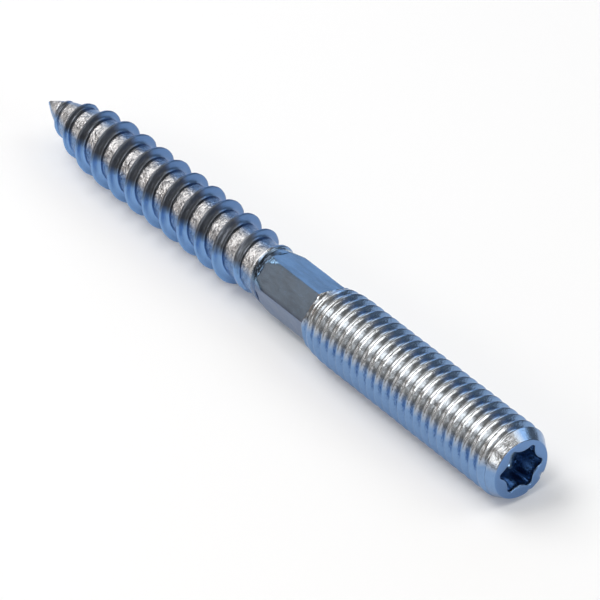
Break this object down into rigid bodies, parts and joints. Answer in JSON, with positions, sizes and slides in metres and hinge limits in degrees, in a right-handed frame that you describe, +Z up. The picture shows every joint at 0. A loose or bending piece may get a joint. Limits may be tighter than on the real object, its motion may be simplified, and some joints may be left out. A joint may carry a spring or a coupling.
{
  "type": "hanger bolt",
  "caption": "Steel bolt with a thread at each end: a machine thread with a star-shaped socket, a short hexagonal shank and a wood-screw thread with a sharp point.",
  "frame": {"origin": "on the bolt's axis in the plane of the machine end's face, lowered by 3.96 mm to the surface that it lies on", "axes": "+X along the bolt's axis and out of the machine end, +Z up as it lies, +Y across it"},
  "size_m": [0.0808, 0.008, 0.0079],
  "materials": {
    "zinc": "bright zinc plating with a blue tint"
  },
  "bodies": {
    "root": {"hanger_bolt": "zinc"}
  },
  "joints": []
}
